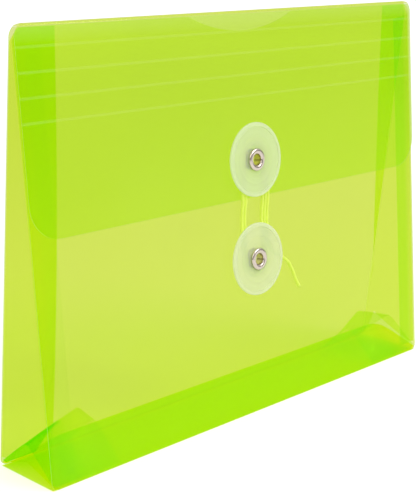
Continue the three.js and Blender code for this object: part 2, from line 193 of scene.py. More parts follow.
def skin(name, outer, inner, sharp=40):
    """A closed thin film between two grids of points, rows by columns, in metres."""
    rows = len(outer)
    columns = len(outer[0])
    points = [p for row in outer for p in row] + [p for row in inner for p in row]
    offset = rows * columns

    def at(r, c):
        return r * columns + c

    faces = []
    for r in range(rows - 1):
        for c in range(columns - 1):
            quad = (at(r, c), at(r, c + 1), at(r + 1, c + 1), at(r + 1, c))
            faces.append(quad)
            faces.append(tuple(i + offset for i in reversed(quad)))
    rim = [at(0, c) for c in range(columns)]
    rim += [at(r, columns - 1) for r in range(1, rows)]
    rim += [at(rows - 1, c) for c in range(columns - 2, -1, -1)]
    rim += [at(r, 0) for r in range(rows - 2, 0, -1)]
    for a, b in zip(rim, rim[1:] + rim[:1]):
        faces.append((b, a, a + offset, b + offset))
    return new_object(name, points, outward(points, faces), sharp=sharp)


def offset_line(line, distance):
    """A polyline in the XY plane moved sideways by a distance at each of its points."""
    array = np.array(line, float)
    along = np.gradient(array[:, :2], axis=0)
    along /= np.linalg.norm(along, axis=1)[:, None]
    moved = array.copy()
    moved[:, 0] += along[:, 1] * distance
    moved[:, 1] -= along[:, 0] * distance
    return moved


def turned(name, profile, segments, across, drop, base_height, sharp=40):
    """A ring turned about the front wall's normal, from a closed profile of radii and heights in mm."""
    count = len(profile)
    points = []
    for i in range(segments):
        angle = 2 * math.pi * i / segments
        for radius, height in profile:
            x = across + radius * math.cos(angle)
            down = radius * math.sin(angle)
            points.append(front_point(x, -FRONT_OUTER - base_height - height, drop + down))
    faces = []
    for i in range(segments):
        k = (i + 1) % segments
        for j in range(count):
            m = (j + 1) % count
            faces.append((i * count + j, i * count + m, k * count + m, k * count + j))
    return new_object(name, points, outward(points, faces), sharp=sharp)


def arc(centre, middle, radius, start, end, count, stretch=1.0):
    """Profile points on an arc, angles in degrees, with its height scaled by stretch."""
    points = []
    for i in range(count + 1):
        angle = math.radians(start + (end - start) * i / count)
        points.append((centre + radius * math.cos(angle), middle + stretch * radius * math.sin(angle)))
    return points


# The closing cord
CORD_DIAMETER = 0.0012
CORD_SIDES = 16
CORD_STEP = 0.00028
BRAID_TURN = 0.36
BRAID_PITCH = 0.0016
END_STEPS = 3
CURVE_PARTS = 40
CORD_ROUTE = [
    (0.001912, -0.006313, 0.093264),
    (0.003193, -0.006391, 0.092412),
    (0.004049, -0.006508, 0.091136),
    (0.004350, -0.006646, 0.089630),
    (0.004350, -0.007340, 0.082062),
    (0.004270, -0.007887, 0.076087),
    (0.004110, -0.007737, 0.070048),
    (0.003950, -0.008367, 0.063177),
    (0.003950, -0.009097, 0.055210),
    (0.003730, -0.009238, 0.053672),
    (0.002917, -0.009363, 0.052306),
    (0.001612, -0.009452, 0.051335),
    (0.000000, -0.009489, 0.050928),
    (-0.001679, -0.009467, 0.051174),
    (-0.003164, -0.009385, 0.052059),
    (-0.004215, -0.009256, 0.053472),
    (-0.004650, -0.009097, 0.055210),
    (-0.004650, -0.008367, 0.063177),
    (-0.004490, -0.007737, 0.070048),
    (-0.004330, -0.007887, 0.076087),
    (-0.004250, -0.007340, 0.082062),
    (-0.004250, -0.006646, 0.089630),
    (-0.004058, -0.006478, 0.091469),
    (-0.003136, -0.006324, 0.093151),
    (-0.001580, -0.006210, 0.094391),
    (0.000400, -0.006158, 0.094958),
    (0.002447, -0.006195, 0.094552),
    (0.004183, -0.006301, 0.093398),
    (0.005343, -0.006459, 0.091669),
    (0.005750, -0.006646, 0.089630),
    (0.005750, -0.007340, 0.082062),
    (0.005670, -0.007887, 0.076087),
    (0.005510, -0.007737, 0.070048),
    (0.005350, -0.008367, 0.063177),
    (0.005350, -0.009097, 0.055210),
    (0.005024, -0.009287, 0.053138),
    (0.003907, -0.009453, 0.051320),
    (0.002148, -0.009570, 0.050047),
    (0.000000, -0.009617, 0.049534),
    (-0.002215, -0.009585, 0.049886),
    (-0.004154, -0.009476, 0.051073),
    (-0.005509, -0.009305, 0.052938),
    (-0.006050, -0.009097, 0.055210),
    (-0.006050, -0.008367, 0.063177),
    (-0.005890, -0.007737, 0.070048),
    (-0.005730, -0.007887, 0.076087),
    (-0.005650, -0.007340, 0.082062),
    (-0.005650, -0.006646, 0.089630),
    (-0.005351, -0.006429, 0.092003),
    (-0.004125, -0.006233, 0.094137),
    (-0.002116, -0.006092, 0.095680),
    (0.000400, -0.006030, 0.096352),
    (0.002983, -0.006077, 0.095841),
    (0.005173, -0.006211, 0.094383),
    (0.006636, -0.006410, 0.092203),
    (0.007150, -0.006646, 0.089630),
    (0.007150, -0.007340, 0.082062),
    (0.007070, -0.007887, 0.076087),
    (0.006910, -0.007737, 0.070048),
    (0.006750, -0.008367, 0.063177),
    (0.007000, -0.008677, 0.059791),
    (0.008200, -0.008914, 0.057202),
    (0.010200, -0.009078, 0.055410),
    (0.012700, -0.009188, 0.054215),
    (0.015150, -0.009343, 0.052522),
    (0.017250, -0.009498, 0.050829),
    (0.018600, -0.009690, 0.048737),
    (0.019800, -0.009890, 0.046547),
    (0.020600, -0.010064, 0.044655),
    (0.021500, -0.010228, 0.042862),
    (0.022900, -0.010456, 0.040373),
]


def centripetal(points, step):
    """Evenly spaced points on the centripetal curve through a list of points."""
    p = [Vector(q) for q in points]
    p = [2 * p[0] - p[1]] + p + [2 * p[-1] - p[-2]]
    dense = []
    for i in range(1, len(p) - 2):
        p0, p1, p2, p3 = p[i - 1:i + 3]
        d0, d1, d2 = ((b - a).length ** 0.5 for a, b in ((p0, p1), (p1, p2), (p2, p3)))
        t1 = ((p1 - p0) / d0 - (p2 - p0) / (d0 + d1) + (p2 - p1) / d1) * d1
        t2 = ((p2 - p1) / d1 - (p3 - p1) / (d1 + d2) + (p3 - p2) / d2) * d1
        for k in range(CURVE_PARTS):
            t = k / CURVE_PARTS
            from_start = p1 * (2 * t ** 3 - 3 * t ** 2 + 1) + t1 * (t ** 3 - 2 * t ** 2 + t)
            from_end = p2 * (-2 * t ** 3 + 3 * t ** 2) + t2 * (t ** 3 - t ** 2)
            dense.append(from_start + from_end)
    dense.append(p[-2])
    array = np.array([tuple(q) for q in dense])
    run = np.concatenate([[0], np.cumsum(np.linalg.norm(np.diff(array, axis=0), axis=1))])
    count = max(2, int(round(run[-1] / step)))
    even = np.linspace(0, run[-1], count + 1)
    return np.stack([np.interp(even, run, array[:, k]) for k in range(3)], axis=1)


def braid_ring(centre, normal, side, step, taper):
    """One ring of the cord's surface, bulging where the braid's strands cross."""
    points = []
    for k in range(CORD_SIDES):
        angle = 2 * math.pi * k / CORD_SIDES
        turn = step * BRAID_TURN
        braid = abs(math.sin(2 * angle + turn)) + abs(math.sin(2 * angle - turn))
        radius = CORD_DIAMETER / 2 * (0.9 + 0.05 * braid) * taper
        points.append(centre + radius * (math.cos(angle) * normal + math.sin(angle) * side))
    return points


def tube_faces(rings, sides):
    """The faces of a closed tube: its wall, and a cap at each end."""
    faces = []
    for i in range(rings - 1):
        for k in range(sides):
            m = (k + 1) % sides
            faces.append((i * sides + k, i * sides + m, (i + 1) * sides + m, (i + 1) * sides + k))
    faces.append(tuple(range(sides - 1, -1, -1)))
    last = (rings - 1) * sides
    faces.append(tuple(range(last, last + sides)))
    return faces


def make_cord():
    """A braided cord along the route, its two ends closed by small domes."""
    line = centripetal(CORD_ROUTE, CORD_STEP)
    along = np.gradient(line, axis=0)
    along /= np.linalg.norm(along, axis=1)[:, None]
    normal = np.cross(along[0], (0.0, 1.0, 0.0))
    points = []
    uvs = []
    for i, (centre, direction) in enumerate(zip(line, along)):
        normal = normal - direction * float(np.dot(normal, direction))
        normal = normal / np.linalg.norm(normal)
        side = np.cross(direction, normal)
        end = min(i, len(line) - 1 - i)
        taper = math.sqrt(1 - (1 - min(end, END_STEPS) / END_STEPS) ** 2 * 0.9)
        points += braid_ring(centre, normal, side, i, taper)
        uvs += [(k / CORD_SIDES * 4, i * CORD_STEP / BRAID_PITCH) for k in range(CORD_SIDES)]
    faces = tube_faces(len(line), CORD_SIDES)
    cord = new_object("closing_cord", points, outward(points, faces), uvs=uvs, sharp=80)
    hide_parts("tie_string")
    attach(cord, "flap")
    return cord


CORD = make_cord()


# Materials
class Nodes:
    """A small helper that adds linked nodes to a material's tree."""

    def __init__(self, name):
        self.material = bpy.data.materials.new(name)
        self.material.use_nodes = True
        self.tree = self.material.node_tree
        self.tree.nodes.clear()
        self.output = self.tree.nodes.new("ShaderNodeOutputMaterial")

    def add(self, kind, inputs=None, **settings):
        node = self.tree.nodes.new(kind)
        for key, value in settings.items():
            setattr(node, key, value)
        for key, value in (inputs or {}).items():
            socket = node.inputs[key]
            if isinstance(value, bpy.types.NodeSocket):
                self.tree.links.new(value, socket)
            else:
                socket.default_value = value
        return node

    def finish(self, shader):
        self.tree.links.new(shader, self.output.inputs["Surface"])
        return self.material


def colour(rgb):
    return (*rgb, 1.0)


def maths(n, operation, a, b=0.0, clamp=False):
    return n.add("ShaderNodeMath", {0: a, 1: b}, operation=operation, use_clamp=clamp).outputs[0]


def rest_place(n):
    """A place's coordinates in metres, measured on the piece at rest."""
    return n.add("ShaderNodeTexCoord").outputs["Object"]


def rest_axis(n, axis):
    return n.add("ShaderNodeSeparateXYZ", {0: rest_place(n)}).outputs[axis]


def ramp(n, value, start, end, low=0.0, high=1.0):
    """From low to high as a value goes from start to end, and level outside them."""
    limits = {"Value": value, "From Min": start, "From Max": end, "To Min": low, "To Max": high}
    return n.add("ShaderNodeMapRange", limits).outputs[0]


def fade(n, value, start, end):
    return ramp(n, value, start, end, 1.0, 0.0)


def mix_colours(n, factor, first, second):
    colours = {"Factor": factor, "A": first, "B": second}
    return n.add("ShaderNodeMix", colours, data_type="RGBA").outputs["Result"]


def mix_shaders(n, share, first, second):
    """A share of the second shader over the first."""
    return n.add("ShaderNodeMixShader", {0: share, 1: first, 2: second}).outputs[0]


def translucent(n, rgb):
    return n.add("ShaderNodeBsdfTranslucent", {"Color": colour(rgb)}).outputs[0]


def along_vector(n, place, direction):
    """The dot product of two vectors."""
    return n.add("ShaderNodeVectorMath", {0: place, 1: direction}, operation="DOT_PRODUCT").outputs["Value"]


def bumped(n, height, strength, distance):
    """A normal that follows fine relief."""
    relief = {"Height": height, "Strength": strength, "Distance": distance}
    return n.add("ShaderNodeBump", relief).outputs[0]


def noise(n, scale, detail=2.0, stretch=(1, 1, 1)):
    """Noise fixed to the piece's own rest shape, so that it stays with the film as it moves."""
    scaled = n.add("ShaderNodeVectorMath", {0: rest_place(n), 1: stretch}, operation="MULTIPLY").outputs[0]
    return n.add("ShaderNodeTexNoise", {"Vector": scaled, "Scale": scale, "Detail": detail}).outputs["Fac"]


# What one layer of film lets through, and its other colours and shares
LAYER = (0.915, 0.998, 0.375)
# Paler colour of the films' cut edges, partly their own and partly a painted edge highlight.
PALE_EDGE_AND_HIGHLIGHT = (0.75, 0.95, 0.4)
# Pale chalk for the score lines, also used as a painted sheen just below the top fold.
PALE_SCORE_AND_SHEEN = (0.95, 1.0, 0.7)
INNER_GLOW = (0.5, 0.85, 0.02)
DEEPER_HALF = 0.53
PALER_HALF = 0.47
EDGE_SHARE = 0.5
SCORE_SHARE = 0.028
# The share of painted sheen at the top fold.
CREST_SHEEN_SHARE = 0.045
FILM_ROUGHNESS = 0.14


def front_drop(n):
    """How far down from the fold a place on the closed front lies, in metres, measured at rest."""
    down = (0.0, -math.sin(TILT), -math.cos(TILT))
    start = -math.sin(TILT) * CENTRE_SHIFT * MM - math.cos(TILT) * AXIS_HEIGHT * MM
    return maths(n, "SUBTRACT", along_vector(n, rest_place(n), down), start)


def score_lines(n):
    """1 on the four score lines across the flap, 0 elsewhere."""
    steps = maths(n, "DIVIDE", maths(n, "SUBTRACT", front_drop(n), SCORE_FIRST * MM), SCORE_PITCH * MM)
    nearest = maths(n, "ROUND", steps)
    away = maths(n, "ABSOLUTE", maths(n, "SUBTRACT", steps, nearest))
    line = fade(n, away, 0.035, 0.075)
    above = maths(n, "LESS_THAN", nearest, 3.5)
    below = maths(n, "GREATER_THAN", nearest, -0.5)
    return maths(n, "MULTIPLY", line, maths(n, "MULTIPLY", above, below))


def cut_edge(n, wall_normal):
    """1 on a film's cut edges, 0 on its two faces."""
    normal = n.add("ShaderNodeTexCoord").outputs["Normal"]
    return maths(n, "LESS_THAN", maths(n, "ABSOLUTE", along_vector(n, normal, wall_normal)), 0.6)


def painted_crest_sheen(n):
    """1 at the top fold, fading to 0 a few millimetres below it, where the film gets a painted sheen."""
    return fade(n, front_drop(n), 0.0, 0.005)


def film_tint(n, layer, bands):
    """The colour that one face of a film lets through, a little cloudy, with its bands of other tints."""
    cloud = noise(n, 38.0, 3.0, (0.6, 1, 1))
    deeper = tuple(c ** DEEPER_HALF for c in layer)
    paler = tuple(c ** PALER_HALF for c in layer)
    tint = mix_colours(n, cloud, colour(deeper), colour(paler))
    for share_of, band_tint in bands:
        face_tint = tuple(c ** 0.5 for c in band_tint)
        tint = mix_colours(n, share_of(n), tint, colour(face_tint))
    return tint


def film(name, layer=LAYER, haze=0.005, gloss=0.025, wall_normal=None, scored_with_sheen=False, bands=()):
    """Clear tinted film. Each closed film is passed by two faces, so each face takes half the tint.

    bands are more tints, each with the function that says how much of it a place takes.
    """
    n = Nodes(name)
    clear = n.add("ShaderNodeBsdfTransparent", {"Color": film_tint(n, layer, bands)}).outputs[0]
    body = mix_shaders(n, haze, clear, translucent(n, INNER_GLOW))
    # Cut edges: partly their own paler colour, partly a painted edge highlight.
    if wall_normal is not None:
        edge = maths(n, "MULTIPLY", cut_edge(n, wall_normal), EDGE_SHARE)
        body = mix_shaders(n, edge, body, translucent(n, PALE_EDGE_AND_HIGHLIGHT))
    # Pale chalk on the score lines, and below the top fold the same chalk as a painted sheen standing in
    # for the fold's highlight.
    if scored_with_sheen:
        lines = maths(n, "MULTIPLY", score_lines(n), SCORE_SHARE)
        pale = maths(n, "MAXIMUM", lines, maths(n, "MULTIPLY", painted_crest_sheen(n), CREST_SHEEN_SHARE))
        chalk_and_sheen = n.add("ShaderNodeBsdfDiffuse", {"Color": colour(PALE_SCORE_AND_SHEEN)}).outputs[0]
        body = mix_shaders(n, pale, body, chalk_and_sheen)
    relief = bumped(n, noise(n, 900.0), 0.12, 0.0002)
    surface = {"Color": (1, 1, 1, 1), "Roughness": FILM_ROUGHNESS, "Normal": relief}
    shine = n.add("ShaderNodeBsdfGlossy", surface).outputs[0]
    facing = n.add("ShaderNodeFresnel", {"IOR": 1.49, "Normal": relief}).outputs[0]
    return n.finish(mix_shaders(n, maths(n, "MULTIPLY", facing, gloss), body, shine))


def within_side(start, end):
    """A share of 1 in the strip next to the part's side edges, fading to 0 between two distances in."""
    def share(n):
        inwards = maths(n, "SUBTRACT", HALF_WIDTH * MM, maths(n, "ABSOLUTE", rest_axis(n, "X")))
        return fade(n, inwards, start * MM, end * MM)
    return share


def high_up(n):
    """A share of 1 near the top, where the gusset narrows between the two walls."""
    return ramp(n, rest_axis(n, "Z"), 0.08, 0.125)


def tucked_back(n):
    """A share of 1 on the back half of an ear, near the side edge, where the film lies double."""
    behind = ramp(n, rest_axis(n, "Y"), -0.0012, 0.0002)
    return maths(n, "MULTIPLY", behind, within_side(12.8, 14.2)(n))


def button_plastic(name, across, drop):
    """Milky moulded plastic: a paler rim, and more of the film's colour towards the middle."""
    n = Nodes(name)
    aside = maths(n, "SUBTRACT", rest_axis(n, "X"), across * MM)
    below = maths(n, "SUBTRACT", front_drop(n), drop * MM)
    squares = maths(n, "ADD", maths(n, "MULTIPLY", aside, aside), maths(n, "MULTIPLY", below, below))
    radius = maths(n, "SQRT", squares)
    rim = ramp(n, radius, 0.0108, 0.0118)
    outside = ramp(n, radius, 0.003, 0.0095)
    body = mix_colours(n, noise(n, 260.0), (0.78, 0.8, 0.64, 1), (0.84, 0.85, 0.73, 1))
    body = mix_colours(n, rim, body, (0.86, 0.88, 0.76, 1))
    surface = {"Base Color": body, "Roughness": 0.4, "IOR": 1.46}
    surface["Normal"] = bumped(n, noise(n, 1800.0), 0.15, 0.0001)
    solid = n.add("ShaderNodeBsdfPrincipled", surface).outputs[0]
    milk = mix_shaders(n, 0.3, solid, translucent(n, (0.84, 0.88, 0.68)))
    clear = n.add("ShaderNodeBsdfTransparent", {"Color": (0.98, 0.99, 0.95, 1)}).outputs[0]
    thicker = maths(n, "ADD", maths(n, "MULTIPLY", outside, 0.1), maths(n, "MULTIPLY", rim, 0.05))
    return n.finish(mix_shaders(n, maths(n, "ADD", thicker, 0.32), clear, milk))


def eyelet_metal():
    """Bright plating with fine scratches."""
    n = Nodes("plated_metal")
    scratch = noise(n, 2600.0, 3.0, (1, 1, 0.2))
    surface = {"Base Color": (0.6, 0.52, 0.45, 1), "Metallic": 1.0}
    surface["Roughness"] = ramp(n, scratch, 0.0, 1.0, 0.16, 0.32)
    surface["Normal"] = bumped(n, scratch, 0.1, 0.0001)
    return n.finish(n.add("ShaderNodeBsdfPrincipled", surface).outputs[0])


def cord_fibre():
    """Braided lime yarn: paler on the strands' crowns, a painted highlight, and greener between them, a
    painted shade.
    """
    n = Nodes("braided_yarn")
    uv = n.add("ShaderNodeUVMap", uv_map="UVMap").outputs["UV"]
    slanted = n.add("ShaderNodeMapping", {"Vector": uv, "Rotation": (0, 0, math.radians(45))}).outputs[0]
    waves = {"Vector": slanted, "Scale": 3.0, "Distortion": 0.6, "Detail": 1.0}
    weave = n.add("ShaderNodeTexWave", waves, wave_type="BANDS").outputs["Fac"]
    # The braid's relief, which also sets its colour: a painted highlight on the crowns and painted shade in
    # the grooves.
    braid_relief_and_shade = maths(n, "MULTIPLY", weave, noise(n, 5200.0))
    tint = mix_colours(n, braid_relief_and_shade, (0.9, 0.97, 0.14, 1), (0.97, 1.0, 0.27, 1))
    surface = {"Base Color": tint, "Roughness": 0.75, "Sheen Weight": 0.3}
    surface["Normal"] = bumped(n, braid_relief_and_shade, 0.3, 0.0001)
    solid = n.add("ShaderNodeBsdfPrincipled", surface).outputs[0]
    return n.finish(mix_shaders(n, 0.4, solid, translucent(n, (0.8, 0.95, 0.12))))


def set_material(obj, material):
    obj.data.materials.clear()
    obj.data.materials.append(material)


FRONT_NORMAL = (0.0, math.cos(TILT), -math.sin(TILT))
BACK_NORMAL = (0.0, math.cos(TILT), math.sin(TILT))
FRONT_FILM = film("front_film", wall_normal=FRONT_NORMAL)
BACK_FILM = film("back_film", wall_normal=BACK_NORMAL)
FLAP_FILM = film("flap_film", layer=(0.815, 1.0, 0.36), wall_normal=FRONT_NORMAL, scored_with_sheen=True)
FOLD_FILM = film("fold_film", haze=0.006, gloss=0.045)
GUSSET_FILM = film("gusset_film", layer=(0.89, 0.998, 0.27), bands=((high_up, (0.85, 0.998, 0.2)),))
BOTTOM_FILM = film("bottom_film", layer=(0.83, 1.0, 0.006), gloss=0.02,
                   bands=((within_side(6.0, 14.0), (0.94, 0.985, 0.01)),))
TUCK_LEFT = film("left_tucked_film", layer=(0.9, 0.995, 0.4),
                 bands=((within_side(9.0, 15.0), (0.74, 0.98, 0.1)), (tucked_back, (0.42, 0.97, 0.01))))
TUCK_RIGHT = film("right_tucked_film", layer=(0.87, 0.995, 0.42),
                  bands=((within_side(8.0, 16.0), (0.85, 0.99, 0.42)),))
HEM_RIGHT = film("right_hem_film", layer=(0.75, 0.998, 0.24),
                 bands=((within_side(2.2, 4.4), (0.9, 0.99, 0.6)),))
HEM_LEFT = film("left_hem_film", layer=(0.96, 0.998, 0.9),
                bands=((within_side(3.7, 4.4), (0.985, 0.995, 0.96)),))
UPPER_MILKY = button_plastic("upper_milky_plastic", UPPER_ACROSS, UPPER_DROP)
LOWER_MILKY = button_plastic("lower_milky_plastic", 0.0, LOWER_DROP)
METAL = eyelet_metal()
YARN = cord_fibre()

set_material(CORD, YARN)
for node_name, node_film in (("front_panel", FRONT_FILM), ("back_panel", BACK_FILM), ("flap", FLAP_FILM),
                             ("left_seam_tab", HEM_LEFT), ("right_seam_tab", HEM_RIGHT)):
    set_material(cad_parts[node_name], node_film)


# The fold over the top
FOLD_STEPS = 32


def make_fold():
    """The half round of film over the top, attached to the front."""
    start = TILT + CREASE_GAP / FOLD_OUTER

    def ring(radius):
        rows = []
        for i in range(FOLD_STEPS + 1):
            share = i / FOLD_STEPS
            angle = start + (math.pi - 2 * start) * share
            half = HALF_WIDTH - corner_inset(FOLD_OUTER * (1 - math.sin(math.pi * share)))
            y = (radius * math.cos(angle) + CENTRE_SHIFT) * MM
            z = (AXIS_HEIGHT + radius * math.sin(angle)) * MM
            rows.append([(-half * MM, y, z), (0.0, y, z), (half * MM, y, z)])
        return rows

    fold = skin("top_fold", ring(FOLD_OUTER), ring(FOLD_INNER))
    set_material(fold, FOLD_FILM)
    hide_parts("flap_fold")
    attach(fold, "front")
    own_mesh(fold)


# Gussets and ears, in millimetres
GUSSET_TOP = AXIS_HEIGHT - CONTACT_GAP - FILM
FRONT_ROOT = -FRONT_INNER + 2.5 * CONTACT_GAP + 1.5 * FILM
BACK_ROOT = FOLD_INNER - CONTACT_GAP - FILM / 2
SIDE_INSET = 0.2
SIDE_BANDS = 8
BAND_ROWS = 4
BAND_POWER = 0.85
SECTION = 24
CREASE_SOFTNESS = 0.004
CREASE_LIFT = 0.0632
BOTTOM_FOOT = 0.2
BOTTOM_CREST_DROP = 0.3
BOTTOM_FILM_HEIGHT = 0.28
FIRST_STATION = 0.6
EAR_POWER = 0.9


def middle_depth(height):
    """The Y halfway between the two walls' inner faces, at a height over the floor."""
    return (front_plane(-FRONT_INNER, height) + back_plane(FOLD_INNER, height)) / 2


def between_walls(share, front, middle, back):
    """A Y across the envelope: front at a share of 1, middle at 0 and back at -1."""
    return middle + (front - middle) * share if share > 0 else middle - (back - middle) * share


def crease_height(inwards):
    """The height of the bottom gusset's crease, which falls towards the mouth at each end."""
    share = max(0.0, 1 - inwards / GUSSET_FULL_IN)
    return CREASE_HEIGHT - (CREASE_HEIGHT - GUSSET_MOUTH_HEIGHT) * share ** 2


def ear_ridge(inwards):
    """The height of an ear's ridge, which rises from the mouth to a peak and falls to the crease."""
    if inwards <= EAR_PEAK_IN:
        share = inwards / EAR_PEAK_IN
        return EAR_MOUTH_HEIGHT + (EAR_PEAK_HEIGHT - EAR_MOUTH_HEIGHT) * share ** EAR_POWER
    share = (inwards - EAR_PEAK_IN) / (EAR_END_IN - EAR_PEAK_IN)
    end = CREASE_HEIGHT + EAR_RISE
    return end + (EAR_PEAK_HEIGHT - end) * (1 - share)


def ear_span(inwards):
    """An ear's foot and ridge heights, and the Y of its front foot, ridge and back foot."""
    foot = EAR_FOOT_HEIGHT + corner_inset(inwards, BOTTOM_RADIUS)
    ridge = ear_ridge(inwards)
    front = front_plane(-FRONT_INNER + EAR_FOOT_INSET, foot)
    back = back_plane(FOLD_INNER - EAR_FOOT_INSET, foot)
    return foot, ridge, front, middle_depth(ridge), back


def over_ear(inwards, depth):
    """The height just clear of an ear's outer face."""
    foot, ridge, front, middle, back = ear_span(inwards)
    share = (depth - front) / (middle - front) if depth < middle else (back - depth) / (back - middle)
    return foot + (ridge - foot) * min(1.0, max(0.0, share)) + EAR_THICKNESS + EAR_CLEARANCE


def gusset_span(height):
    """The Y of a side gusset's front root, middle and back root, and how far in its crease reaches."""
    back = back_plane(BACK_ROOT, height)
    front = front_plane(FRONT_ROOT, height)
    half = (back - front) / 2
    reach = math.sqrt(max(1.0, SIDE_GUSSET_HALF ** 2 - half ** 2))
    return front, middle_depth(height), back, reach


def gusset_section(side, height_at, shift):
    """Points across a side gusset, back root to crease to front root, at heights from height_at."""
    line = []
    for k in range(SECTION + 1):
        share = k / SECTION * 2 - 1
        z = height_at(share)
        front, middle, back, reach = gusset_span(z)
        inset = SIDE_INSET + corner_inset(AXIS_HEIGHT - z)
        rounded = 1 - math.sqrt(share ** 2 + CREASE_SOFTNESS) + CREASE_LIFT * (1 - abs(share))
        inwards = inset + (reach - inset) * rounded
        line.append((inwards, between_walls(share, front, middle, back), z))
    moved = offset_line(line, shift)
    return [(side * (HALF_WIDTH - p[0]) * MM, p[1] * MM, z * MM) for p, (_, _, z) in zip(moved, line)]


def gusset_low(share):
    """The height of a side gusset's lower edge, just over the ear, found in a few rounds."""
    z = EAR_FOOT_HEIGHT
    for _ in range(4):
        front, middle, back, reach = gusset_span(z)
        inwards = SIDE_INSET + (reach - SIDE_INSET) * (1 - abs(share))
        z = over_ear(inwards, between_walls(share, front, middle, back))
    return z


def make_side_gusset(name, side):
    """A side gusset, cut across into bands that run between the two leaning walls."""
    lows = [gusset_low(k / SECTION * 2 - 1) for k in range(SECTION + 1)]
    for band in range(SIDE_BANDS):
        rows_out = []
        rows_in = []
        for row in range(BAND_ROWS + 1):
            level = ((band + row / BAND_ROWS) / SIDE_BANDS) ** BAND_POWER

            def height_at(share, level=level):
                low = lows[int(round((share + 1) / 2 * SECTION))]
                return low + (GUSSET_TOP - low) * level

            rows_out.append(gusset_section(side, height_at, FILM / 2))
            rows_in.append(gusset_section(side, height_at, -FILM / 2))
        piece = skin(f"{name}_gusset_{band + 1}", rows_out, rows_in, sharp=60)
        set_material(piece, GUSSET_FILM)
        if band == 0:
            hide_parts(f"{name}_gusset_front", f"{name}_gusset_back")
        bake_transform(piece)


def stations(last, count):
    """Even distances in from a side edge."""
    return [FIRST_STATION + (last - FIRST_STATION) * i / count for i in range(count + 1)]


def rounded_ridge(count, softness=0.02):
    """Shares from -1 to 1 across a fold, each with a share of its height, rounded off at the crest."""
    pairs = []
    for k in range(count + 1):
        share = k / count * 2 - 1
        crest = 1 - math.sqrt(share ** 2 + softness) + math.sqrt(softness) * 0.9 * (1 - abs(share))
        pairs.append((share, max(0.0, crest)))
    return pairs


def make_bottom_gusset():
    """The bottom gusset: one folded film from end to end, its crease lower at the two mouths."""
    ends = stations(GUSSET_FULL_IN, 14)
    places = [(-HALF_WIDTH + e, e) for e in ends]
    places += [(0.0, HALF_WIDTH)]
    places += [(HALF_WIDTH - e, e) for e in reversed(ends)]
    across = rounded_ridge(20, 0.006)

    def grid(lift):
        rows = []
        for x, inwards in places:
            foot = corner_inset(inwards, BOTTOM_RADIUS) + BOTTOM_FOOT
            crest = crease_height(inwards)
            front = front_plane(-FRONT_INNER + CREASE_GAP, foot)
            back = back_plane(FOLD_INNER - CREASE_GAP, foot)
            middle = middle_depth(crest)
            row = []
            for share, rise in across:
                z = foot + (crest - BOTTOM_CREST_DROP - foot) * rise + lift * BOTTOM_FILM_HEIGHT
                row.append((x * MM, between_walls(share, front, middle, back) * MM, z * MM))
            rows.append(row)
        return rows

    piece = skin("bottom_gusset", grid(1.0), grid(0.0), sharp=60)
    set_material(piece, BOTTOM_FILM)
    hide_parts("bottom_gusset_front", "bottom_gusset_back")
    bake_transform(piece)


def make_ear(name, side, material):
    """The double film tucked in at a lower corner, as a low ridge along the envelope's end."""
    across = rounded_ridge(20, 0.01)

    def grid(lift):
        rows = []
        for inwards in stations(EAR_END_IN, 24):
            foot, ridge, front, middle, back = ear_span(inwards)
            x = side * (HALF_WIDTH - inwards) * MM
            row = []
            for share, rise in across:
                z = foot + (ridge - foot) * rise + lift * EAR_THICKNESS
                row.append((x, between_walls(share, front, middle, back) * MM, z * MM))
            rows.append(row)
        return rows

    piece = skin(f"{name}_tucked_ear", grid(1.0), grid(0.0), sharp=60)
    set_material(piece, material)
    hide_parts(f"{name}_corner_ear")
    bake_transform(piece)


# Discs and eyelets, with radii and heights in millimetres
HOLE_RADIUS = 2.6
BORE_RADIUS = 2.0
BARREL_RADIUS = 2.4
CLENCH_RADIUS = 3.6
FLANGE_RADIUS = 3.8


def make_button(name, body, material, across, drop, seat):
    """A moulded disc: rounded rim, raised faint rings, and a short hub that stands on the film."""
    top = BUTTON_LIFT + BUTTON_THICKNESS
    hole = HOLE_RADIUS
    edge = BUTTON_THICKNESS / 2
    rim = BUTTON_RADIUS
    profile = [(hole, 0.15), (HUB_RADIUS - 0.2, 0.15), (HUB_RADIUS, 0.35)]
    profile += [(HUB_RADIUS, BUTTON_LIFT - 0.3)]
    profile += arc(HUB_RADIUS + 0.3, BUTTON_LIFT - 0.3, 0.3, 180, 90, 5)
    profile += arc(rim - edge, BUTTON_LIFT + edge, edge, -90, 0, 8)
    profile += arc(rim - 0.3, top - 0.15, 0.3, 0, 90, 6)
    profile += [(rim - 1.0, top + 0.15)]
    profile += arc(rim - 1.5, top + 0.15, 0.18, 60, 0, 3)[::-1]
    profile += [(rim - 1.45, top), (8.75, top)]
    profile += [(8.5, top + 0.05), (8.2, top + 0.08), (7.9, top + 0.05), (7.65, top)]
    profile += [(5.7, top), (5.45, top + 0.05), (5.2, top + 0.07), (4.95, top + 0.05), (4.7, top)]
    profile += [(hole + 0.2, top), (hole, top - 0.15)]
    disc = turned(f"{name}_disc", profile, 96, across, drop, seat, sharp=50)
    set_material(disc, material)
    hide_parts(f"{name}_button")
    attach(disc, body)


